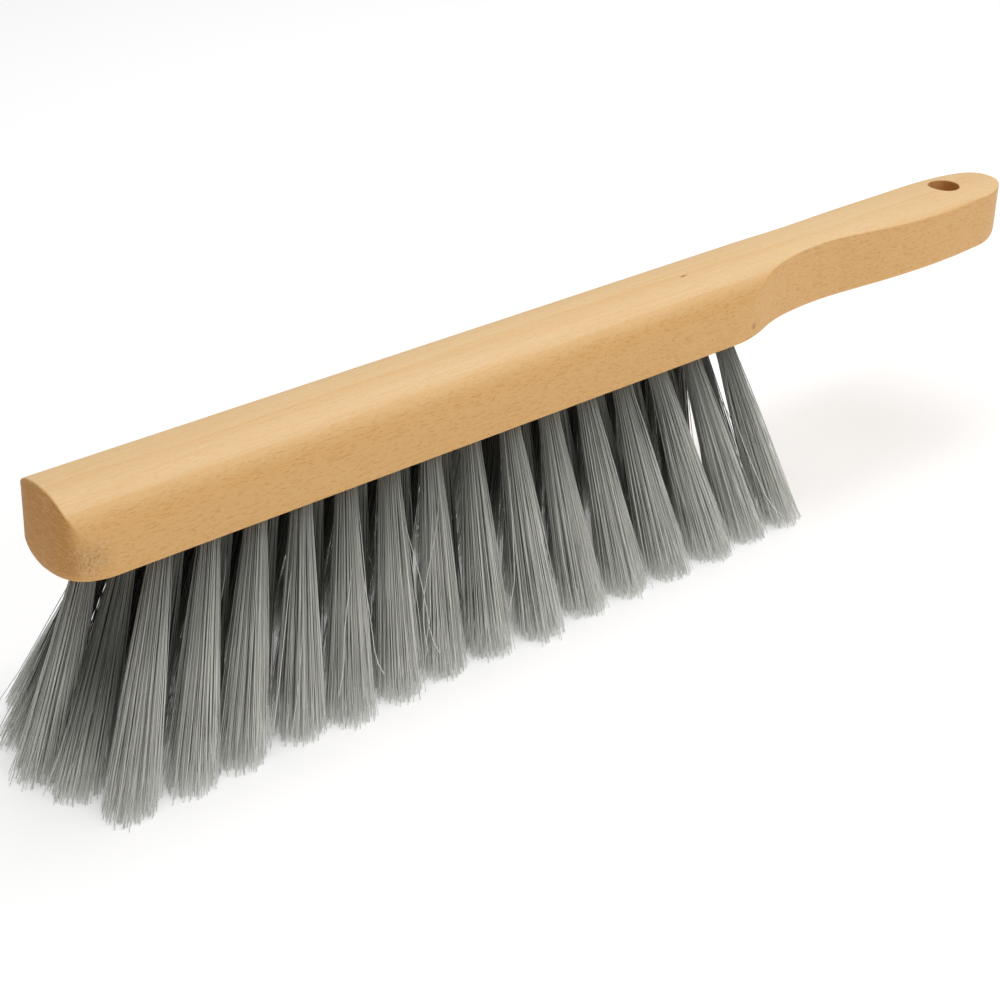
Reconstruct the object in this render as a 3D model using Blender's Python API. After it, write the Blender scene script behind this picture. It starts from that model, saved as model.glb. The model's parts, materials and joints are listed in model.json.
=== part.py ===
"""Counter brush: one beech block with its handle, and rows of bristle tufts set in drilled holes."""

import math

import bmesh
import bpy
from mathutils import Vector

# Driving sizes in metres. X runs from the nose to the handle's end, Y across, Z up.
# They are written from the nose and from the block's flat underside; recentre() moves the finished brush.
OVERALL_LENGTH = 0.3430
HEAD_HALF_WIDTH = 0.01525
RIDGE_HEIGHT = 0.0204
SIDE_HEIGHT = 0.0068
CROWN_POWER = 2.7
NOSE_START = -0.0014
NOSE_LENGTH = 0.0118
NOSE_POWER = 3.1
NOSE_TOP_SETBACK = 0.0035
NOSE_FOOT_SETBACK = 0.0010
END_DROP = 0.0022
END_DROP_START = 0.3120
HEAD_END = 0.2150
END_HALF_WIDTH = 0.0020
NOSE_EDGE_ROUND = 0.0032
HEAD_EDGE_ROUND = 0.0004
HANDLE_EDGE_ROUND = 0.0018
END_EDGE_ROUND = 0.0045
HANDLE_START = 0.2350
END_START = 0.3260
# Half width of the plan outline at each distance from the nose, past the head.
HANDLE_OUTLINE = (
    (0.2150, 0.01525),
    (0.2185, 0.01500),
    (0.2240, 0.01380),
    (0.2310, 0.01140),
    (0.2400, 0.00950),
    (0.2500, 0.00860),
    (0.2600, 0.00870),
    (0.2720, 0.00980),
    (0.2850, 0.01110),
    (0.3000, 0.01190),
    (0.3140, 0.01190),
    (0.3260, 0.01110),
)

HOLE_FROM_NOSE = 0.3199
HOLE_RADIUS = 0.0050

TUFT_HOLE_RADIUS = 0.0031
TUFT_ROOT_RADIUS = 0.0028
TUFT_TIP_RADIUS = 0.0064
TUFT_HOLE_DEPTH = 0.0100
TUFT_ROOT_DEPTH = 0.0096
TUFT_SIDES = 12
TRIM_LENGTH = 0.0568
ROOT_PITCH = 0.01332
TIP_PITCH = 0.01589
OUTER_STEPS = tuple(range(15))
INNER_STEPS = tuple(range(8)) + tuple(range(9, 15))
# Row name, its tufts as steps of the pitches, then where step 0 leaves the wood and where its tip is, as (x, y).
ROWS = (
    ("near_outer", OUTER_STEPS, (0.0264, -0.0093), (0.0017, -0.0275)),
    ("near_inner", INNER_STEPS, (0.0198, -0.0047), (-0.0052, -0.0130)),
    ("nose", (0,), (0.0120, 0.0000), (-0.0090, 0.0000)),
    ("far_inner", INNER_STEPS, (0.0198, 0.0047), (-0.0052, 0.0130)),
    ("far_outer", OUTER_STEPS, (0.0264, 0.0093), (0.0017, 0.0275)),
)

BEECH_COLOUR = (0.72, 0.50, 0.27, 1.0)
BRISTLE_COLOUR = (0.30, 0.31, 0.30, 1.0)


def clear_scene():
    for obj in list(bpy.data.objects):
        bpy.data.objects.remove(obj, do_unlink=True)


def make_material(name, colour, roughness):
    material = bpy.data.materials.new(name)
    material.use_nodes = True
    shader = material.node_tree.nodes["Principled BSDF"]
    shader.inputs["Base Color"].default_value = colour
    shader.inputs["Roughness"].default_value = roughness
    shader.inputs["Metallic"].default_value = 0.0
    material.diffuse_color = colour
    return material


def add_object(name, mesh_data, material=None):
    mesh = bpy.data.meshes.new(name)
    mesh_data.to_mesh(mesh)
    mesh_data.free()
    obj = bpy.data.objects.new(name, mesh)
    bpy.context.scene.collection.objects.link(obj)
    if material is not None:
        mesh.materials.append(material)
    return obj


def ridge_profile(along, offset):
    """Height of the crowned top above the underside, falling a little over the handle's last stretch."""
    share = min(abs(offset) / HEAD_HALF_WIDTH, 1.0)
    rise = max(1.0 - share**CROWN_POWER, 0.0) ** (1.0 / CROWN_POWER)
    fall = max(along - END_DROP_START, 0.0) / (OVERALL_LENGTH - END_DROP_START)
    return SIDE_HEIGHT + (RIDGE_HEIGHT - SIDE_HEIGHT) * rise - END_DROP * fall**2


def outline_knots():
    """(distance from nose, half width) all along the block, nose arc first and rounded handle end last."""
    knots = []
    nose_steps = 12
    start = END_HALF_WIDTH / HEAD_HALF_WIDTH
    for step in range(nose_steps + 1):
        share = start + (1.0 - start) * math.sin(math.pi / 2 * step / nose_steps)
        curve = 1.0 - max(1.0 - share**NOSE_POWER, 0.0) ** (1.0 / NOSE_POWER)
        along = NOSE_START + NOSE_LENGTH * curve
        knots.append((along, HEAD_HALF_WIDTH * share))
    first_end = knots[-1][0]
    for step in range(1, 9):
        along = first_end + (HEAD_END - first_end) * step / 9
        knots.append((along, HEAD_HALF_WIDTH))
    knots.extend(HANDLE_OUTLINE)
    last, width = HANDLE_OUTLINE[-1]
    steps = 8
    limit = math.acos(END_HALF_WIDTH / width)
    for step in range(1, steps + 1):
        angle = limit * step / steps
        along = last + (OVERALL_LENGTH - last) * math.sin(angle) / math.sin(limit)
        knots.append((along, width * math.cos(angle)))
    return knots


def edge_round(along):
    """Radius of the round along the underside's edges: full at the nose, slight on the head, fuller on the handle."""
    if along <= HEAD_END:
        share = max(1.0 - (along - NOSE_START) / NOSE_LENGTH, 0.0)
        return HEAD_EDGE_ROUND + (NOSE_EDGE_ROUND - HEAD_EDGE_ROUND) * share
    if along <= HANDLE_START:
        share = (along - HEAD_END) / (HANDLE_START - HEAD_END)
        return HEAD_EDGE_ROUND + (HANDLE_EDGE_ROUND - HEAD_EDGE_ROUND) * share
    share = max(along - END_START, 0.0) / (OVERALL_LENGTH - END_START)
    return HANDLE_EDGE_ROUND + (END_EDGE_ROUND - HANDLE_EDGE_ROUND) * share**2


def nose_setback(along, height):
    """How far the bulging nose wall curves back towards its top and, less, towards its foot."""
    share = max(1.0 - (along - NOSE_START) / NOSE_LENGTH, 0.0)
    level = height / RIDGE_HEIGHT
    return share * (NOSE_TOP_SETBACK * level**4 + NOSE_FOOT_SETBACK * (1.0 - level) ** 2)


def block_section(along, half_width):
    """Ring of points round the block at one distance from the nose, from the underside round over the top."""
    top_steps = 16
    radius = edge_round(along)
    across = min(radius, half_width * 0.8)
    lower = []
    for step in range(4):
        angle = math.pi / 2 * step / 3
        lower.append((half_width - across * (1.0 - math.sin(angle)), radius * (1.0 - math.cos(angle))))
    upper = []
    for step in range(top_steps + 1):
        offset = half_width * math.cos(math.pi * step / top_steps)
        upper.append((offset, ridge_profile(along, offset)))
    other = [(-offset, height) for offset, height in reversed(lower)]
    ring = []
    for offset, height in lower + upper + other:
        ring.append(Vector((along + nose_setback(along, height), offset, height)))
    return ring


def cap(body, row, outward):
    """Strip of faces across a ring, joining each point to the one opposite."""
    low, high = 0, len(row) - 1
    while high - low > 1:
        corners = [row[low], row[low + 1], row[high - 1], row[high]]
        if high - low == 2:
            corners.pop(2)
        body.faces.new(tuple(corners if outward else reversed(corners)))
        low += 1
        high -= 1


def skin(rings):
    """Closed body through rings of equal length, with a cap at each end."""
    body = bmesh.new()
    rows = [[body.verts.new(point) for point in ring] for ring in rings]
    count = len(rows[0])
    for low, high in zip(rows, rows[1:]):
        for index in range(count):
            after = (index + 1) % count
            body.faces.new((low[index], low[after], high[after], high[index]))
    cap(body, rows[0], False)
    cap(body, rows[-1], True)
    bmesh.ops.recalc_face_normals(body, faces=body.faces[:])
    return body


def tuft_places():
    """(name, root point on the underside, tip point) of every tuft."""
    places = []
    for row, steps, (root_x, root_y), (tip_x, tip_y) in ROWS:
        for number, step in enumerate(steps, start=1):
            root = Vector((root_x + ROOT_PITCH * step, root_y, 0.0))
            tip = Vector((tip_x + TIP_PITCH * step, tip_y, -TRIM_LENGTH))
            places.append((f"tuft_{row}_{number:02d}", root, tip))
    return places


def round_ring(centre, axis, radius, level):
    """Circle about an axis. Level 1 slides its points along the axis until the ring lies flat."""
    across = axis.cross(Vector((0.0, 1.0, 0.0))).normalized()
    other = axis.cross(across).normalized()
    ring = []
    for step in range(TUFT_SIDES):
        angle = 2 * math.pi * step / TUFT_SIDES
        point = centre + radius * (math.cos(angle) * across + math.sin(angle) * other)
        ring.append(point + axis * (level * (centre.z - point.z) / axis.z))
    return ring


def tuft_body(root, tip):
    """Bundle of bristles as one body: straight in its hole, then opening out to the trimmed end."""
    axis = (tip - root).normalized()
    length = (tip - root).length
    rings = [
        round_ring(root - axis * TUFT_ROOT_DEPTH, axis, TUFT_ROOT_RADIUS, 0.0),
        round_ring(root + axis * 0.0015, axis, TUFT_ROOT_RADIUS, 0.0),
    ]
    steps = 5
    for step in range(1, steps + 1):
        share = step / steps
        radius = TUFT_ROOT_RADIUS + (TUFT_TIP_RADIUS - TUFT_ROOT_RADIUS) * share**0.9
        rings.append(round_ring(root + axis * length * share, axis, radius, share**2))
    return skin(rings)


def drill_body(places):
    """All the drilled tuft holes as one cutter of separate plugs."""
    cutter = bmesh.new()
    for _, root, tip in places:
        axis = (tip - root).normalized()
        rings = [
            round_ring(root - axis * TUFT_HOLE_DEPTH, axis, TUFT_HOLE_RADIUS, 0.0),
            round_ring(root + axis * 0.006, axis, TUFT_HOLE_RADIUS, 0.0),
        ]
        plug = skin(rings)
        mesh = bpy.data.meshes.new("plug")
        plug.to_mesh(mesh)
        plug.free()
        cutter.from_mesh(mesh)
        bpy.data.meshes.remove(mesh)
    return cutter


def hanging_hole_body():
    rings = []
    for height in (-0.005, RIDGE_HEIGHT + 0.005):
        ring = []
        for step in range(32):
            angle = 2 * math.pi * step / 32
            x = HOLE_FROM_NOSE + HOLE_RADIUS * math.cos(angle)
            ring.append(Vector((x, HOLE_RADIUS * math.sin(angle), height)))
        rings.append(ring)
    return skin(rings)


def cut(block, name, cutter_data):
    cutter = add_object(name, cutter_data)
    cutter.hide_render = True
    cutter.display_type = "WIRE"
    modifier = block.modifiers.new(name, "BOOLEAN")
    modifier.operation = "DIFFERENCE"
    modifier.solver = "EXACT"
    modifier.object = cutter


def build_block(places):
    rings = [block_section(along, half_width) for along, half_width in outline_knots()]
    beech = make_material("beech", BEECH_COLOUR, 0.5)
    block = add_object("handle_block", skin(rings), beech)
    cut(block, "hanging_hole_cutter", hanging_hole_body())
    cut(block, "tuft_hole_cutter", drill_body(places))


def build_tufts(places):
    bristle = make_material("bristle", BRISTLE_COLOUR, 0.45)
    for name, root, tip in places:
        add_object(name, tuft_body(root, tip), bristle)


def recentre():
    """Puts the middle of the brush's outer box over the origin, and its bristle tips on the ground."""
    bpy.context.view_layer.update()
    corners = []
    for obj in bpy.data.objects:
        if not obj.hide_render:
            corners.extend(vertex.co for vertex in obj.data.vertices)
    low_x = min(corner.x for corner in corners)
    high_x = max(corner.x for corner in corners)
    low_z = min(corner.z for corner in corners)
    shift = Vector((-(low_x + high_x) / 2, 0.0, -low_z))
    for obj in bpy.data.objects:
        for vertex in obj.data.vertices:
            vertex.co += shift


def main():
    clear_scene()
    places = tuft_places()
    build_block(places)
    build_tufts(places)
    recentre()


main()
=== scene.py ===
"""Looks of the counter brush: a beech block with its handle, and rows of grey bristle tufts."""

import json
import math

import bmesh
import bpy
import numpy as np
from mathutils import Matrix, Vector

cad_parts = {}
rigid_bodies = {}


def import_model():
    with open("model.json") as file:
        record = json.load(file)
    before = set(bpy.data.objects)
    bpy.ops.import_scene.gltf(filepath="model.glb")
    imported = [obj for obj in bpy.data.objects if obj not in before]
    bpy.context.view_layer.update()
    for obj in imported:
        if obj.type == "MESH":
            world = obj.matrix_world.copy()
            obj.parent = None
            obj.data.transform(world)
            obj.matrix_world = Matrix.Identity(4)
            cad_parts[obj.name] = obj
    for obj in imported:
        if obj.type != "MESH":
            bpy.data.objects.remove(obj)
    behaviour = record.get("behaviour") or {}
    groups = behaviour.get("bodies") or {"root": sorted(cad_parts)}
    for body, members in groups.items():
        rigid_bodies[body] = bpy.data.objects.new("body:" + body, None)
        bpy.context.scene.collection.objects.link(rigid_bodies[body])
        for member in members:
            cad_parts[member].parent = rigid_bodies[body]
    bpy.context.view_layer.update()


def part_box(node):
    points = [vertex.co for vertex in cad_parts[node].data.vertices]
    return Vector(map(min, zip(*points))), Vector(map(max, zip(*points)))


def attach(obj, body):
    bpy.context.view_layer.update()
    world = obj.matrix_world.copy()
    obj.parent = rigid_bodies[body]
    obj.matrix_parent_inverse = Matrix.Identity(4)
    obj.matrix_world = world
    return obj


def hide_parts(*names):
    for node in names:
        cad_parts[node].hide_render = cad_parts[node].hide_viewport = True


# The block's driving sizes, in metres, the same as the CAD's. X runs from the nose to the handle's end.
OVERALL_LENGTH = 0.3430
HEAD_HALF_WIDTH = 0.01525
RIDGE_HEIGHT = 0.0204
SIDE_HEIGHT = 0.0068
CROWN_POWER = 2.7
NOSE_START = -0.0014
NOSE_LENGTH = 0.0118
NOSE_POWER = 3.1
NOSE_TOP_SETBACK = 0.0035
NOSE_FOOT_SETBACK = 0.0010
END_DROP = 0.0022
END_DROP_START = 0.3120
HEAD_END = 0.2150
END_HALF_WIDTH = 0.0020
NOSE_EDGE_ROUND = 0.0032
HEAD_EDGE_ROUND = 0.0004
HANDLE_EDGE_ROUND = 0.0018
END_EDGE_ROUND = 0.0045
HANDLE_START = 0.2350
END_START = 0.3260
TOP_EDGE_ROUND = 0.0004
HANDLE_OUTLINE = (
    (0.2150, 0.01525),
    (0.2185, 0.01500),
    (0.2240, 0.01380),
    (0.2310, 0.01140),
    (0.2400, 0.00950),
    (0.2500, 0.00860),
    (0.2600, 0.00870),
    (0.2720, 0.00980),
    (0.2850, 0.01110),
    (0.3000, 0.01190),
    (0.3140, 0.01190),
    (0.3260, 0.01110),
)
HOLE_FROM_NOSE = 0.3199
HOLE_RADIUS = 0.0050
HOLE_CHAMFER = 0.0004
HOLE_SIDES = 64
CUT_REACH = 0.0020

# The tufts, the same as the CAD's.
TUFT_HOLE_RADIUS = 0.0031
TUFT_HOLE_DEPTH = 0.0100
TUFT_HOLE_SIDES = 20
DRILL_REACH = 0.0060
TUFT_ROOT_RADIUS = 0.0028
TUFT_TIP_RADIUS = 0.0064
TRIM_LENGTH = 0.0568
ROOT_PITCH = 0.01332
TIP_PITCH = 0.01589
OUTER_STEPS = tuple(range(15))
INNER_STEPS = tuple(range(8)) + tuple(range(9, 15))
# Row name, its tufts as steps of the pitches, then where step 0 leaves the wood and where its tip is.
ROWS = (
    ("near_outer", OUTER_STEPS, (0.0264, -0.0093), (0.0017, -0.0275)),
    ("near_inner", INNER_STEPS, (0.0198, -0.0047), (-0.0052, -0.0130)),
    ("nose", (0,), (0.0120, 0.0000), (-0.0090, 0.0000)),
    ("far_inner", INNER_STEPS, (0.0198, 0.0047), (-0.0052, 0.0130)),
    ("far_outer", OUTER_STEPS, (0.0264, 0.0093), (0.0017, 0.0275)),
)

# The filaments. The spreads and wobbles are standard deviations.
FILAMENTS_PER_TUFT = 260
FILAMENT_RADIUS = 0.00014
FILAMENT_THICKNESS = (0.85, 1.12)
FILAMENT_TAPER = 0.86
FILAMENT_SIDES = 3
FILAMENT_RINGS = 8
ROOT_FILL = 0.88
TIP_FILL = 1.06
SEAT_SHARE = -0.05
TUFT_LEAN = 0.0009
BOW_SIZE = 0.00026
WAVE_SIZE = 0.00010
FLICK_SIZE = 0.00065
FLICKED_SHARE = 0.55
TRIM_ERROR = 0.00050
LONG_TRIM_ERROR = 0.0030
LONG_TRIM_SHARE = 0.05
TUFT_SEED = 4000
STRAY_SEED = 77
STRAY_FILAMENTS = 40
STRAY_RINGS = 14
STRAY_FIRST_TUFT = 2
STRAY_ALONG = 0.012
STRAY_OUT = 0.0055
STRAY_UP = (0.001, 0.012)
STRAY_SWAY = 0.0018
STRAY_BULGE = 0.0020
STRAY_WAVE = 0.0006
CURLED_SHARE = 0.4
CURL = ((0.0, 0.0, 0.0), (0.0006, -0.0003, 0.0), (0.0018, -0.0008, 0.0011))

# Marks in the wood, placed from the nose and the underside: a pin knot, a nick and torn grain.
KNOT_PLACE = Vector((0.2030, -0.0022, 0.0203))
KNOT_REACH = 0.0011
NICK_PLACE = Vector((0.2207, -0.0146, 0.0040))
NICK_REACH = 0.0016
TORN_PLACE = Vector((0.0062, -0.0135, 0.0062))
TORN_REACH = 0.0085

# Beech colours, linear.
PALE_WOOD = (0.83, 0.585, 0.315, 1.0)
WARM_WOOD = (0.78, 0.475, 0.195, 1.0)
# Painted shade for the faces that turn to the side; also the lighter tone of the end grain's pores and
# rays.
DEEP_WOOD_AND_SIDE_SHADE = (0.70, 0.385, 0.120, 1.0)
FLECK_WOOD = (0.60, 0.27, 0.070, 1.0)
END_GRAIN = (0.50, 0.205, 0.036, 1.0)
KNOT = (0.10, 0.05, 0.03, 1.0)
PALE_CHIP = (0.86, 0.66, 0.42, 1.0)

# Filament colours, linear.
BRISTLE_DARK = (0.320, 0.325, 0.288, 1.0)
BRISTLE_LIGHT = (0.900, 0.905, 0.830, 1.0)
BRISTLE_TIP = (0.950, 0.952, 0.910, 1.0)
# Painted shade, mixed in towards the filaments' roots and along the inner rows.
BRISTLE_PAINTED_SHADE = (0.090, 0.093, 0.076, 1.0)

# The camera's place, written like the block's sizes from the nose and the underside.
CAMERA_PLACE = Vector((-0.14440, -0.35922, 0.23255))
CAMERA_TURN_DEGREES = (59.938, 0.168, -38.193)
CAMERA_LENS_MM = 66.72

# The stage.
FLOOR_HALF_SIZE = 6.0
FLOOR_GLOW = 0.20
WORLD_STRENGTH = 0.26
KEY_WATTS = 15.5
FILL_WATTS = 3.8
LIT_POINT = (0.0, 0.0, 0.05)


# ---------------------------------------------------------------- block


def clear_scene():
    for obj in list(bpy.data.objects):
        bpy.data.objects.remove(obj, do_unlink=True)


def smooth_through(knots, steps_each):
    """Points on a smooth curve through the knots (Catmull-Rom with uneven spacing)."""
    xs = np.array([k[0] for k in knots])
    ys = np.array([k[1] for k in knots])
    slopes = np.gradient(ys, xs)
    slopes[0] = 0.0
    points = []
    for i in range(len(xs) - 1):
        span = xs[i + 1] - xs[i]
        for step in range(steps_each):
            t = step / steps_each
            h00 = 2 * t**3 - 3 * t**2 + 1
            h10 = t**3 - 2 * t**2 + t
            h01 = -2 * t**3 + 3 * t**2
            h11 = t**3 - t**2
            y = h00 * ys[i] + h10 * span * slopes[i] + h01 * ys[i + 1] + h11 * span * slopes[i + 1]
            points.append((xs[i] + t * span, y))
    return points


def block_outline():
    """(distance from nose, half width) at every section of the block."""
    nose_steps = 40
    head_steps = 60
    end_steps = 30
    knots = []
    start = END_HALF_WIDTH / HEAD_HALF_WIDTH
    for step in range(nose_steps + 1):
        share = start + (1.0 - start) * math.sin(math.pi / 2 * step / nose_steps)
        curve = 1.0 - max(1.0 - share**NOSE_POWER, 0.0) ** (1.0 / NOSE_POWER)
        knots.append((NOSE_START + NOSE_LENGTH * curve, HEAD_HALF_WIDTH * share))
    first_end = knots[-1][0]
    for step in range(1, head_steps):
        knots.append((first_end + (HEAD_END - first_end) * step / head_steps, HEAD_HALF_WIDTH))
    knots.extend(smooth_through(HANDLE_OUTLINE, 9))
    last, width = HANDLE_OUTLINE[-1]
    limit = math.acos(END_HALF_WIDTH / width)
    for step in range(end_steps + 1):
        angle = limit * step / end_steps
        along = last + (OVERALL_LENGTH - last) * math.sin(angle) / math.sin(limit)
        knots.append((along, width * math.cos(angle)))
    return knots


def ridge_profile(along, offset):
    """Height of the domed top over the underside."""
    share = min(abs(offset) / HEAD_HALF_WIDTH, 1.0)
    rise = max(1.0 - share**CROWN_POWER, 0.0) ** (1.0 / CROWN_POWER)
    fall = max(along - END_DROP_START, 0.0) / (OVERALL_LENGTH - END_DROP_START)
    return SIDE_HEIGHT + (RIDGE_HEIGHT - SIDE_HEIGHT) * rise - END_DROP * fall**2


def edge_round(along):
    """Radius of the lower edge at a distance from the nose."""
    if along <= HEAD_END:
        share = max(1.0 - (along - NOSE_START) / NOSE_LENGTH, 0.0)
        return HEAD_EDGE_ROUND + (NOSE_EDGE_ROUND - HEAD_EDGE_ROUND) * share
    if along <= HANDLE_START:
        share = (along - HEAD_END) / (HANDLE_START - HEAD_END)
        return HEAD_EDGE_ROUND + (HANDLE_EDGE_ROUND - HEAD_EDGE_ROUND) * share
    share = max(along - END_START, 0.0) / (OVERALL_LENGTH - END_START)
    return HANDLE_EDGE_ROUND + (END_EDGE_ROUND - HANDLE_EDGE_ROUND) * share**2


def nose_setback(along, height):
    """How far the bulging nose falls back at a height, fading out behind the nose."""
    share = max(1.0 - (along - NOSE_START) / NOSE_LENGTH, 0.0)
    level = height / RIDGE_HEIGHT
    return share * (NOSE_TOP_SETBACK * level**4 + NOSE_FOOT_SETBACK * (1.0 - level) ** 2)


def distance_to(outline, point_x, point_y):
    """Distance from points inside the outline to its nearest side, in plan."""
    x = np.array([p[0] for p in outline])
    y = np.array([p[1] for p in outline])
    x = np.concatenate([[x[0]], x, [x[-1]]])
    y = np.concatenate([[0.0], y, [0.0]])
    start = np.stack([x[:-1], y[:-1]], 1)
    side = np.stack([np.diff(x), np.diff(y)], 1)
    point = np.stack([point_x, np.abs(point_y)], 1)
    reach = point[:, None, :] - start[None]
    share = (reach * side).sum(-1) / np.maximum((side**2).sum(-1), 1e-16)
    near = start[None] + np.clip(share, 0.0, 1.0)[..., None] * side
    return np.linalg.norm(point[:, None, :] - near, axis=-1).min(1)


def softened(distance):
    """How far the top drops at a distance from the outline, to round its edge over."""
    short = np.clip(TOP_EDGE_ROUND - distance, 0.0, TOP_EDGE_ROUND)
    return TOP_EDGE_ROUND - np.sqrt(np.maximum(TOP_EDGE_ROUND**2 - short**2, 0.0))


def block_section(outline, along, half_width):
    """Ring of (x, y, z) round the block at one distance from the nose."""
    top_steps = 72
    under_steps = 6
    radius = edge_round(along)
    across = min(radius, half_width * 0.8)
    lower = []
    for step in range(under_steps + 1):
        angle = math.pi / 2 * step / under_steps
        lower.append((half_width - across * (1.0 - math.sin(angle)), radius * (1.0 - math.cos(angle))))
    offsets = half_width * np.cos(np.pi * np.arange(top_steps + 1) / top_steps)
    heights = np.array([ridge_profile(along, offset) for offset in offsets])
    heights -= softened(distance_to(outline, np.full(len(offsets), along), offsets))
    upper = list(zip(offsets, heights))
    other = [(-offset, height) for offset, height in reversed(lower)]
    return [
        (along + nose_setback(along, height), offset, height)
        for offset, height in lower + upper + other
    ]


def cap(body, row, outward):
    """Strip of faces across a ring, joining each point to the one opposite."""
    low, high = 0, len(row) - 1
    while high - low > 1:
        corners = [row[low], row[low + 1], row[high - 1], row[high]]
        if high - low == 2:
            corners.pop(2)
        body.faces.new(tuple(corners if outward else reversed(corners)))
        low += 1
        high -= 1


def skin(rings):
    """Closed body through rings of equal length, with a cap at each end."""
    body = bmesh.new()
    rows = [[body.verts.new(point) for point in ring] for ring in rings]
    count = len(rows[0])
    for low, high in zip(rows, rows[1:]):
        for index in range(count):
            after = (index + 1) % count
            body.faces.new((low[index], low[after], high[after], high[index]))
    cap(body, rows[0], False)
    cap(body, rows[-1], True)
    bmesh.ops.recalc_face_normals(body, faces=body.faces[:])
    return body


def add_object(name, body):
    mesh = bpy.data.meshes.new(name)
    body.to_mesh(mesh)
    body.free()
    obj = bpy.data.objects.new(name, mesh)
    bpy.context.scene.collection.objects.link(obj)
    return obj


def tuft_places():
    """(name, root point on the underside, tip point) of every tuft."""
    places = []
    for row, steps, (root_x, root_y), (tip_x, tip_y) in ROWS:
        for number, step in enumerate(steps, start=1):
            root = Vector((root_x + ROOT_PITCH * step, root_y, 0.0))
            tip = Vector((tip_x + TIP_PITCH * step, tip_y, -TRIM_LENGTH))
            places.append((f"tuft_{row}_{number:02d}", root, tip))
    return places


def ring_about(centre, axis, radius, sides):
    """Circle of points round an axis."""
    across = axis.cross(Vector((0.0, 1.0, 0.0))).normalized()
    other = axis.cross(across).normalized()
    ring = []
    for step in range(sides):
        angle = 2 * math.pi * step / sides
        ring.append(centre + radius * (math.cos(angle) * across + math.sin(angle) * other))
    return ring


def drill_body(places):
    """All the drilled tuft holes as one cutter of separate plugs."""
    cutter = bmesh.new()
    for _, root, tip in places:
        axis = (tip - root).normalized()
        ends = (root - axis * TUFT_HOLE_DEPTH, root + axis * DRILL_REACH)
        plug = skin([ring_about(end, axis, TUFT_HOLE_RADIUS, TUFT_HOLE_SIDES) for end in ends])
        mesh = bpy.data.meshes.new("plug")
        plug.to_mesh(mesh)
        plug.free()
        cutter.from_mesh(mesh)
        bpy.data.meshes.remove(mesh)
    return cutter


def hanging_hole_body():
    """Cutter for the hanging hole, with its two rims slightly broken."""
    top = ridge_profile(HOLE_FROM_NOSE, 0.0)
    wide = HOLE_RADIUS + HOLE_CHAMFER
    levels = (
        (-CUT_REACH, wide),
        (0.0, wide),
        (HOLE_CHAMFER, HOLE_RADIUS),
        (top - HOLE_CHAMFER, HOLE_RADIUS),
        (top, wide),
        (top + CUT_REACH, wide),
    )
    rings = []
    for height, radius in levels:
        ring = []
        for step in range(HOLE_SIDES):
            angle = 2 * math.pi * step / HOLE_SIDES
            x = HOLE_FROM_NOSE + radius * math.cos(angle)
            ring.append((x, radius * math.sin(angle), height))
        rings.append(ring)
    return skin(rings)


def cut(obj, body):
    """Cuts a body out of an object's mesh for good."""
    cutter = add_object("cutter", body)
    modifier = obj.modifiers.new("cut", "BOOLEAN")
    modifier.operation = "DIFFERENCE"
    modifier.solver = "EXACT"
    modifier.object = cutter
    graph = bpy.context.evaluated_depsgraph_get()
    made = bpy.data.meshes.new_from_object(obj.evaluated_get(graph))
    obj.modifiers.clear()
    old = obj.data
    obj.data = made
    bpy.data.meshes.remove(old)
    bpy.data.objects.remove(cutter, do_unlink=True)


def build_block(places, shift):
    """The beech block with its hanging hole and tuft holes."""
    outline = block_outline()
    rings = [block_section(outline, along, half_width) for along, half_width in outline]
    block = add_object("beech_block", skin(rings))
    cut(block, hanging_hole_body())
    cut(block, drill_body(places))
    block.data.name = "beech_block"
    for vertex in block.data.vertices:
        vertex.co += shift
    block.data.shade_smooth()
    block.data.set_sharp_from_angle(angle=math.radians(34))
    block.data.materials.clear()
    block.data.materials.append(beech_material(shift))
    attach(block, "root")
    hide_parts("handle_block")


# ---------------------------------------------------------------- materials


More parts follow.
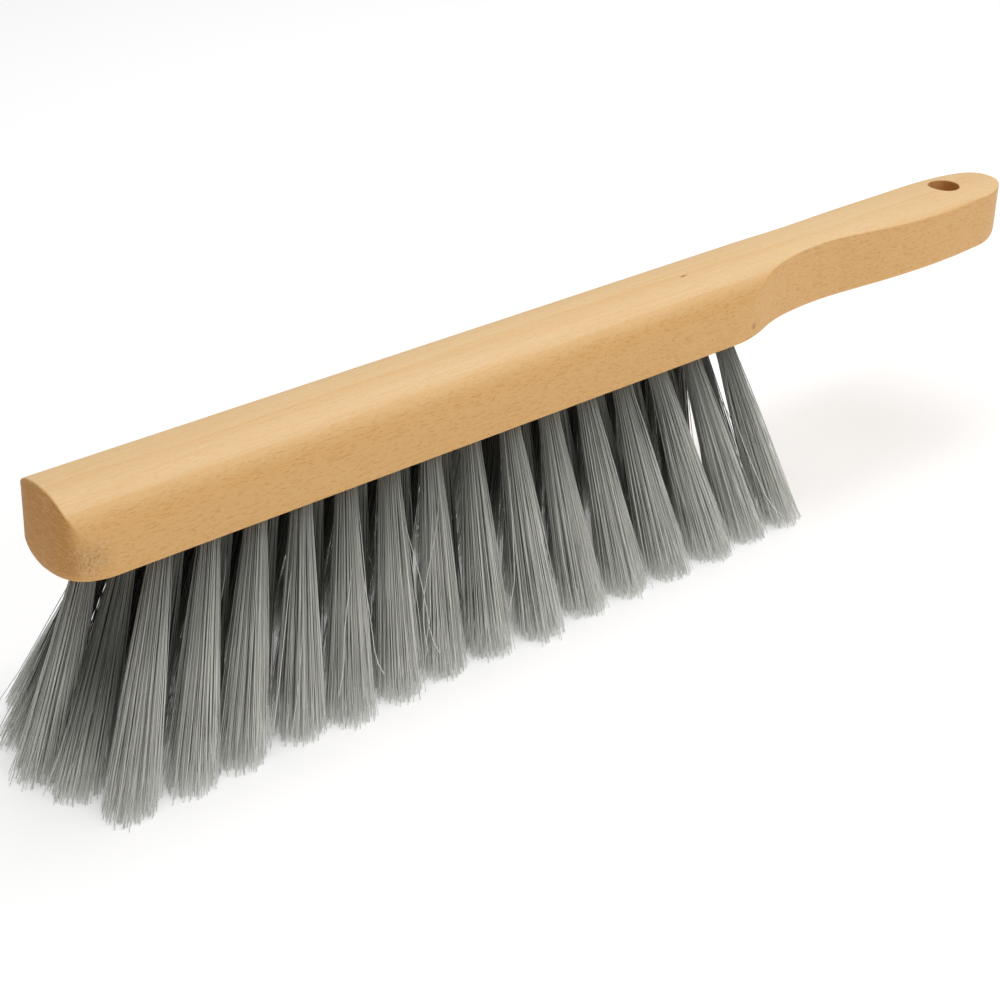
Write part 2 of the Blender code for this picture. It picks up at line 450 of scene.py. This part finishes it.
class Nodes:
    """Short ways to add and join nodes in one material."""

    def __init__(self, name):
        self.material = bpy.data.materials.new(name)
        self.material.use_nodes = True
        self.tree = self.material.node_tree
        self.shader = self.tree.nodes["Principled BSDF"]

    def add(self, kind, **settings):
        node = self.tree.nodes.new(kind)
        for key, value in settings.items():
            setattr(node, key, value)
        return node

    def join(self, source, target):
        self.tree.links.new(source, target)

    def put(self, socket, value):
        if isinstance(value, bpy.types.NodeSocket):
            self.join(value, socket)
        else:
            socket.default_value = value

    def maths(self, operation, first, second=0.0):
        node = self.add("ShaderNodeMath", operation=operation)
        self.put(node.inputs[0], first)
        self.put(node.inputs[1], second)
        return node.outputs[0]

    def mix(self, share, first, second):
        node = self.add("ShaderNodeMix", data_type="RGBA", clamp_factor=True)
        self.put(node.inputs["Factor"], share)
        self.put(node.inputs["A"], first)
        self.put(node.inputs["B"], second)
        return node.outputs["Result"]

    def span(self, value, low, high, out_low=0.0, out_high=1.0):
        """Value from low to high becomes out_low to out_high, smoothly and held at the ends."""
        node = self.add("ShaderNodeMapRange", interpolation_type="SMOOTHSTEP")
        for socket, number in zip(node.inputs[1:5], (low, high, out_low, out_high)):
            socket.default_value = number
        self.put(node.inputs[0], value)
        return node.outputs[0]

    def scaled(self, vector, scale, place=(0.0, 0.0, 0.0), turn=(0.0, 0.0, 0.0)):
        node = self.add("ShaderNodeMapping")
        self.join(vector, node.inputs["Vector"])
        node.inputs["Location"].default_value = place
        node.inputs["Rotation"].default_value = turn
        node.inputs["Scale"].default_value = scale
        return node.outputs[0]

    def noise(self, vector, scale=1.0, detail=2.0, roughness=0.5, distortion=0.0):
        node = self.add("ShaderNodeTexNoise")
        self.join(vector, node.inputs["Vector"])
        node.inputs["Scale"].default_value = scale
        node.inputs["Detail"].default_value = detail
        node.inputs["Roughness"].default_value = roughness
        node.inputs["Distortion"].default_value = distortion
        return node.outputs["Fac"]

    def near(self, vector, place, stretch, reach):
        """1 at a place, falling to 0 at an ellipsoid of half sizes stretch * reach."""
        shares = tuple(1.0 / (size * reach) for size in stretch)
        moved = self.scaled(vector, shares, tuple(-p * s for p, s in zip(place, shares)))
        length = self.add("ShaderNodeVectorMath", operation="LENGTH")
        self.join(moved, length.inputs[0])
        return self.span(length.outputs["Value"], 0.0, 1.0, 1.0, 0.0)

    def bump(self, height, strength, distance, under=None):
        node = self.add("ShaderNodeBump")
        node.inputs["Strength"].default_value = strength
        node.inputs["Distance"].default_value = distance
        self.join(height, node.inputs["Height"])
        if under is not None:
            self.join(under, node.inputs["Normal"])
        return node.outputs[0]


def beech_material(shift):
    """Sanded beech as a solid pattern: growth rings, long fibres, short ray flecks and darker end grain,
    with painted shade on the faces that turn to the side.
    """
    n = Nodes("beech_sanded")
    place = n.add("ShaderNodeTexCoord").outputs["Object"]
    normal = n.add("ShaderNodeNewGeometry").outputs["Normal"]
    facing = n.add("ShaderNodeSeparateXYZ")
    n.join(normal, facing.inputs[0])
    along_face = n.maths("ABSOLUTE", facing.outputs["X"])
    end_share = n.span(along_face, 0.45, 0.95)
    side_share = n.span(facing.outputs["Z"], 0.35, 0.95, 1.0, 0.0)

    # Growth rings: broad, soft bands round an axis far below the block, drifting along it.
    drift = n.noise(n.scaled(place, (9.0, 60.0, 60.0)), detail=3.0)
    rings = n.add("ShaderNodeTexWave", wave_type="RINGS", rings_direction="X", wave_profile="SAW")
    n.join(n.scaled(place, (0.5, 1.0, 1.0), (0.0, 0.045, 0.085), (0.04, 0.0, 0.0)), rings.inputs["Vector"])
    rings.inputs["Scale"].default_value = 62.0
    rings.inputs["Distortion"].default_value = 1.2
    rings.inputs["Detail"].default_value = 2.0
    rings.inputs["Detail Scale"].default_value = 0.6
    ring_share = n.maths("MULTIPLY", rings.outputs["Fac"], 0.16)

    # Fibres: very long thin streaks.
    fibre = n.noise(n.scaled(place, (26.0, 1500.0, 1500.0)), detail=4.0, roughness=0.62)
    wide = n.noise(n.scaled(place, (6.0, 130.0, 130.0)), detail=3.0)
    tone = n.maths("ADD", ring_share, n.maths("MULTIPLY", fibre, 0.42))
    tone = n.maths("ADD", tone, n.maths("MULTIPLY", wide, 0.55))
    tone = n.maths("ADD", tone, n.maths("MULTIPLY", drift, 0.20))
    warm = n.span(tone, 0.42, 1.02)
    colour = n.mix(warm, PALE_WOOD, WARM_WOOD)
    # Painted shade: the more a face turns to the side, the more it is mixed toward a darker, warmer wood.
    colour = n.mix(n.maths("MULTIPLY", side_share, 0.75), colour, DEEP_WOOD_AND_SIDE_SHADE)

    # Ray flecks: short dark dashes on the sides, finer and fainter on the crown.
    dash = n.noise(n.scaled(place, (560.0, 5200.0, 3800.0)), detail=1.0, roughness=0.4)
    long_dash = n.noise(n.scaled(place, (210.0, 2600.0, 2000.0), (3.1, 1.7, 0.4)), detail=1.0)
    fleck = n.span(dash, 0.56, 0.68)
    fleck = n.maths("MAXIMUM", fleck, n.span(long_dash, 0.60, 0.72, 0.0, 0.8))
    fleck_share = n.maths("MULTIPLY", fleck, n.span(side_share, 0.0, 1.0, 0.20, 0.62))
    colour = n.mix(fleck_share, colour, FLECK_WOOD)

    # End grain: darker, with pores and fine rays running across it.
    pores = n.noise(n.scaled(place, (900.0, 3600.0, 3600.0)), detail=2.0)
    rays = n.noise(n.scaled(place, (300.0, 420.0, 3400.0), turn=(0.5, 0.0, 0.0)), detail=2.0)
    end_tone = n.maths("ADD", n.span(pores, 0.40, 0.70, 0.0, 0.5), n.span(rays, 0.42, 0.68, 0.0, 0.5))
    end_colour = n.mix(end_tone, END_GRAIN, DEEP_WOOD_AND_SIDE_SHADE)
    colour = n.mix(n.maths("MULTIPLY", end_share, 0.85), colour, end_colour)

    # One pin knot on the crown, a nick at the shoulder and torn grain at the nose's near corner.
    knot = n.near(place, KNOT_PLACE + shift, (1.7, 0.45, 1.0), KNOT_REACH)
    colour = n.mix(n.maths("MULTIPLY", knot, 0.9), colour, KNOT)
    nick = n.near(place, NICK_PLACE + shift, (1.0, 1.0, 0.8), NICK_REACH)
    colour = n.mix(n.maths("MULTIPLY", nick, 0.75), colour, FLECK_WOOD)
    torn = n.near(place, TORN_PLACE + shift, (1.0, 0.8, 1.0), TORN_REACH)
    speck = n.noise(n.scaled(place, (1500.0, 2100.0, 1100.0)), detail=3.0, roughness=0.7)
    speck_share = n.maths("MULTIPLY", torn, n.span(speck, 0.54, 0.64))
    colour = n.mix(n.maths("MULTIPLY", speck_share, 0.75), colour, PALE_CHIP)
    dark_speck = n.maths("MULTIPLY", torn, n.span(speck, 0.34, 0.45, 1.0, 0.0))
    colour = n.mix(n.maths("MULTIPLY", dark_speck, 0.80), colour, END_GRAIN)
    n.join(colour, n.shader.inputs["Base Color"])

    rough = n.maths("ADD", n.maths("MULTIPLY", fleck, 0.08), n.span(fibre, 0.3, 0.7, 0.46, 0.56))
    rough = n.maths("ADD", rough, n.maths("MULTIPLY", end_share, 0.14))
    n.join(rough, n.shader.inputs["Roughness"])
    n.shader.inputs["Specular IOR Level"].default_value = 0.42
    n.shader.inputs["Subsurface Weight"].default_value = 0.06
    n.shader.inputs["Subsurface Radius"].default_value = (0.0022, 0.0011, 0.0005)
    n.shader.inputs["Subsurface Scale"].default_value = 1.0

    grain = n.maths("ADD", n.maths("MULTIPLY", fibre, 0.5), n.maths("MULTIPLY", fleck, -0.5))
    normal_map = n.bump(grain, 0.30, 0.00012)
    chips = n.maths("MULTIPLY", torn, speck)
    normal_map = n.bump(chips, 0.9, 0.0012, normal_map)
    dents = n.maths("ADD", n.maths("MULTIPLY", nick, -1.0), n.maths("MULTIPLY", knot, -0.4))
    normal_map = n.bump(dents, 0.8, 0.0010, normal_map)
    ripple = n.noise(n.scaled(place, (16.0, 90.0, 90.0)), detail=1.0)
    normal_map = n.bump(ripple, 0.25, 0.0012, normal_map)
    n.join(normal_map, n.shader.inputs["Normal"])
    return n.material


def bristle_material():
    """Grey synthetic filament, with painted shade towards its root and painted shade along most of the
    inner rows.

    Attribute strand holds a filament's tone, how far along it a point is, and 1 for the inner rows, which
    get the deeper painted shade.
    """
    n = Nodes("bristle_filament")
    strand = n.add("ShaderNodeAttribute", attribute_name="strand")
    parts = n.add("ShaderNodeSeparateColor")
    n.join(strand.outputs["Color"], parts.inputs[0])
    tone = parts.outputs["Red"]
    along = parts.outputs["Green"]
    place = n.add("ShaderNodeTexCoord").outputs["Object"]
    streak = n.noise(n.scaled(place, (900.0, 900.0, 60.0)), detail=2.0)
    shade = n.maths("ADD", n.maths("MULTIPLY", tone, 0.8), n.maths("MULTIPLY", streak, 0.3))
    colour = n.mix(shade, BRISTLE_DARK, BRISTLE_LIGHT)
    tip = n.span(along, 0.72, 1.0)
    colour = n.mix(n.maths("MULTIPLY", tip, 0.55), colour, BRISTLE_TIP)
    # Painted shade: filaments darken towards their roots, and the inner rows darken along most of their
    # length.
    inner = n.maths("MULTIPLY", parts.outputs["Blue"], n.span(along, 0.45, 0.97, 0.86, 0.0))
    painted_shade_share = n.maths("MAXIMUM", n.span(along, 0.05, 0.62, 0.62, 0.0), inner)
    colour = n.mix(painted_shade_share, colour, BRISTLE_PAINTED_SHADE)
    n.join(colour, n.shader.inputs["Base Color"])
    n.join(n.span(streak, 0.3, 0.7, 0.30, 0.46), n.shader.inputs["Roughness"])
    n.shader.inputs["Specular IOR Level"].default_value = 0.5
    fine = n.noise(n.scaled(place, (5200.0, 5200.0, 700.0)), detail=1.0)
    n.join(n.bump(fine, 0.2, 0.00005), n.shader.inputs["Normal"])
    return n.material


# ---------------------------------------------------------------- bristles


def frames_along(paths):
    """Two unit vectors across each filament at each ring, from its own direction."""
    forward = np.gradient(paths, axis=1)
    forward /= np.linalg.norm(forward, axis=2, keepdims=True)
    helper = np.array([0.31, 0.95, 0.05])
    first = np.cross(forward, helper)
    first /= np.linalg.norm(first, axis=2, keepdims=True)
    return first, np.cross(forward, first)


def filaments_mesh(name, paths, radii, tones, inner=0.0):
    """One mesh of thin closed tubes.

    Paths are (filament, ring, xyz), radii (filament, ring) and tones (filament).
    Inner is 1 for a tuft of the inner rows, whose filaments get the deeper painted shade.
    """
    count, rings, _ = paths.shape
    sides = FILAMENT_SIDES
    first, second = frames_along(paths)
    angles = 2 * np.pi * np.arange(sides) / sides
    around = (
        np.cos(angles)[None, None, :, None] * first[:, :, None, :]
        + np.sin(angles)[None, None, :, None] * second[:, :, None, :]
    )
    points = paths[:, :, None, :] + radii[:, :, None, None] * around
    points = points.reshape(-1, 3)
    index = np.arange(count * rings * sides).reshape(count, rings, sides)
    after = np.roll(index, -1, axis=2)
    quads = np.stack([index[:, :-1], after[:, :-1], after[:, 1:], index[:, 1:]], -1).reshape(-1, 4)
    caps = np.concatenate([index[:, 0, ::-1], index[:, -1]]).reshape(-1, sides)
    mesh = bpy.data.meshes.new(name)
    mesh.vertices.add(len(points))
    mesh.vertices.foreach_set("co", points.astype(np.float32).ravel())
    corners = np.concatenate([quads.ravel(), caps.ravel()]).astype(np.int32)
    sizes = np.concatenate([np.full(len(quads), 4), np.full(len(caps), sides)])
    starts = np.concatenate([[0], np.cumsum(sizes)[:-1]]).astype(np.int32)
    mesh.loops.add(len(corners))
    mesh.loops.foreach_set("vertex_index", corners)
    mesh.polygons.add(len(sizes))
    mesh.polygons.foreach_set("loop_start", starts)
    mesh.polygons.foreach_set("use_smooth", np.ones(len(sizes), bool))
    mesh.update(calc_edges=True)
    colours = np.ones((count, rings, sides, 4), np.float32)
    colours[..., 0] = tones[:, None, None]
    colours[..., 1] = np.linspace(0.0, 1.0, rings)[None, :, None]
    colours[..., 2] = inner
    strand = mesh.attributes.new("strand", "FLOAT_COLOR", "POINT")
    strand.data.foreach_set("color", colours.ravel())
    obj = bpy.data.objects.new(name, mesh)
    bpy.context.scene.collection.objects.link(obj)
    return obj


def disc(rng, count):
    """Points spread evenly over a unit disc, with a little scatter."""
    order = np.arange(count) + 0.5
    reach = np.sqrt(order / count)
    turn = order * math.pi * (3.0 - math.sqrt(5.0)) + rng.uniform(0, 2 * math.pi)
    spots = np.stack([reach * np.cos(turn), reach * np.sin(turn)], 1)
    return spots + rng.normal(0.0, 0.035, spots.shape)


def tuft_paths(rng, root, tip, count):
    """Filament paths of one tuft: bunched at the hole, opening out, cut off level at the ends."""
    root = np.array(root)
    tip = np.array(tip)
    axis = (tip - root) / np.linalg.norm(tip - root)
    across = np.cross(axis, [0.0, 1.0, 0.0])
    across /= np.linalg.norm(across)
    other = np.cross(axis, across)
    start = disc(rng, count)
    finish = start + rng.normal(0.0, 0.055, start.shape)
    share = np.linspace(0.0, 1.0, FILAMENT_RINGS)
    length = SEAT_SHARE + (1.0 - SEAT_SHARE) * share
    spread = np.clip(length, 0.0, 1.0)[None, :, None]
    packed = TUFT_ROOT_RADIUS * ROOT_FILL * start[:, None, :]
    opened = TUFT_TIP_RADIUS * TIP_FILL * finish[:, None, :]
    offset = packed * (1.0 - spread) + opened * spread
    bow = rng.normal(0.0, BOW_SIZE, (count, 1, 2)) * np.sin(np.pi * spread)
    wave = rng.normal(0.0, WAVE_SIZE, (count, 1, 2)) * np.sin(2 * np.pi * spread)
    offset = offset + bow + wave
    flick = rng.normal(0.0, FLICK_SIZE, (count, 2)) * (rng.random((count, 1)) < FLICKED_SHARE)
    offset[:, -1] += flick
    offset[:, -2] += flick * 0.2
    centre = root[None, :] + (tip - root)[None, :] * length[:, None]
    paths = centre[None] + offset[..., :1] * across + offset[..., 1:] * other
    # The ends are trimmed to one level, so each filament is stretched or shortened along the tuft's axis.
    short = np.abs(rng.normal(0.0, TRIM_ERROR, count))
    short = short + (rng.random(count) < LONG_TRIM_SHARE) * rng.uniform(0, LONG_TRIM_ERROR, count)
    wanted = tip[2] + short
    shift = (wanted - paths[:, -1, 2]) / axis[2]
    paths += (shift[:, None] * np.clip(length, 0.0, 1.0)[None, :] ** 1.5)[..., None] * axis
    return paths


def build_tufts(places, shift, material):
    """One piece of loose filaments for every tuft of the CAD."""
    for number, (name, root, tip) in enumerate(places):
        rng = np.random.default_rng(TUFT_SEED + number)
        lean = rng.normal(0.0, TUFT_LEAN, 2)
        tip = tip + Vector((lean[0], lean[1], 0.0))
        paths = tuft_paths(rng, root + shift, tip + shift, FILAMENTS_PER_TUFT)
        taper = np.linspace(1.0, FILAMENT_TAPER, FILAMENT_RINGS)[None, :]
        radii = FILAMENT_RADIUS * rng.uniform(*FILAMENT_THICKNESS, (FILAMENTS_PER_TUFT, 1)) * taper
        tones = np.clip(rng.normal(0.55, 0.22, FILAMENTS_PER_TUFT), 0.05, 1.0)
        obj = filaments_mesh(f"bristles_{name[5:]}", paths, radii, tones, float("inner" in name))
        obj.data.materials.append(material)
        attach(obj, "root")
        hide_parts(name)


def build_strays(places, shift, material):
    """Loose filaments that have slipped out of line and cross between tufts."""
    rng = np.random.default_rng(STRAY_SEED)
    paths = []
    for _ in range(STRAY_FILAMENTS):
        _, root, tip = places[rng.integers(STRAY_FIRST_TUFT, len(places))]
        root = np.array(root + shift)
        tip = np.array(tip + shift)
        side = np.sign(root[1]) if abs(root[1]) > 0.001 else rng.choice([-1.0, 1.0])
        along = rng.uniform(-STRAY_ALONG, STRAY_ALONG)
        out = side * rng.uniform(0.0, STRAY_OUT)
        end = tip + np.array([along, out, rng.uniform(*STRAY_UP)])
        share = np.linspace(0.0, 1.0, STRAY_RINGS)[:, None]
        path = root + (end - root) * share
        bow = np.array([rng.normal(0.0, STRAY_SWAY), side * rng.uniform(0.0, STRAY_BULGE), 0.0])
        wave = rng.normal(0.0, STRAY_WAVE, 3)
        path = path + bow * np.sin(np.pi * share) + wave * np.sin(2 * np.pi * share)
        if rng.random() < CURLED_SHARE:
            path[-3:] += np.array(CURL) * rng.choice([-1, 1])
        paths.append(path)
    paths = np.array(paths)
    radii = np.full((len(paths), STRAY_RINGS), FILAMENT_RADIUS)
    tones = rng.uniform(0.7, 1.0, len(paths))
    obj = filaments_mesh("stray_bristles", paths, radii, tones)
    obj.data.materials.append(material)
    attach(obj, "root")


# ---------------------------------------------------------------- stage


def floor_material():
    n = Nodes("floor_white")
    n.shader.inputs["Base Color"].default_value = (0.92, 0.92, 0.92, 1.0)
    n.shader.inputs["Roughness"].default_value = 0.9
    n.shader.inputs["Specular IOR Level"].default_value = 0.1
    n.shader.inputs["Emission Color"].default_value = (1.0, 1.0, 1.0, 1.0)
    n.shader.inputs["Emission Strength"].default_value = FLOOR_GLOW
    return n.material


def build_floor():
    """Plain floor at the trimmed ends of the bristles."""
    body = bmesh.new()
    bmesh.ops.create_grid(body, x_segments=8, y_segments=8, size=FLOOR_HALF_SIZE)
    floor = add_object("studio_floor", body)
    floor.data.materials.append(floor_material())


def add_area_light(name, place, target, size, power):
    light = bpy.data.lights.new(name, "AREA")
    light.shape = "RECTANGLE"
    light.size, light.size_y = size
    light.energy = power
    obj = bpy.data.objects.new(name, light)
    obj.location = place
    obj.rotation_euler = (Vector(target) - Vector(place)).to_track_quat("-Z", "Y").to_euler()
    bpy.context.scene.collection.objects.link(obj)


def build_lights():
    """White surroundings, a large soft light overhead and a weak one in front."""
    world = bpy.data.worlds.new("studio")
    world.use_nodes = True
    backdrop = world.node_tree.nodes["Background"]
    backdrop.inputs["Color"].default_value = (1.0, 1.0, 1.0, 1.0)
    backdrop.inputs["Strength"].default_value = WORLD_STRENGTH
    bpy.context.scene.world = world
    add_area_light("key", (0.25, 0.05, 1.30), LIT_POINT, (1.4, 1.4), KEY_WATTS)
    add_area_light("front_fill", (0.00, -1.30, 0.50), LIT_POINT, (1.2, 0.8), FILL_WATTS)
    bpy.context.scene.view_settings.view_transform = "Standard"
    bpy.context.scene.view_settings.look = "None"
    bpy.context.scene.view_settings.exposure = 0.0


def build_camera(shift):
    """Camera over the near side, looking along the brush from the nose."""
    data = bpy.data.cameras.new("camera")
    data.lens = CAMERA_LENS_MM
    data.sensor_width = 36.0
    data.clip_start = 0.01
    camera = bpy.data.objects.new("camera", data)
    camera.location = CAMERA_PLACE + shift
    camera.rotation_euler = tuple(math.radians(turn) for turn in CAMERA_TURN_DEGREES)
    bpy.context.scene.collection.objects.link(camera)
    bpy.context.scene.camera = camera


def main():
    clear_scene()
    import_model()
    low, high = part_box("handle_block")
    shift = Vector((high.x - OVERALL_LENGTH, 0.0, low.z))
    places = tuft_places()
    build_block(places, shift)
    filament = bristle_material()
    build_tufts(places, shift, filament)
    build_strays(places, shift, filament)
    build_floor()
    build_lights()
    build_camera(shift)


main()
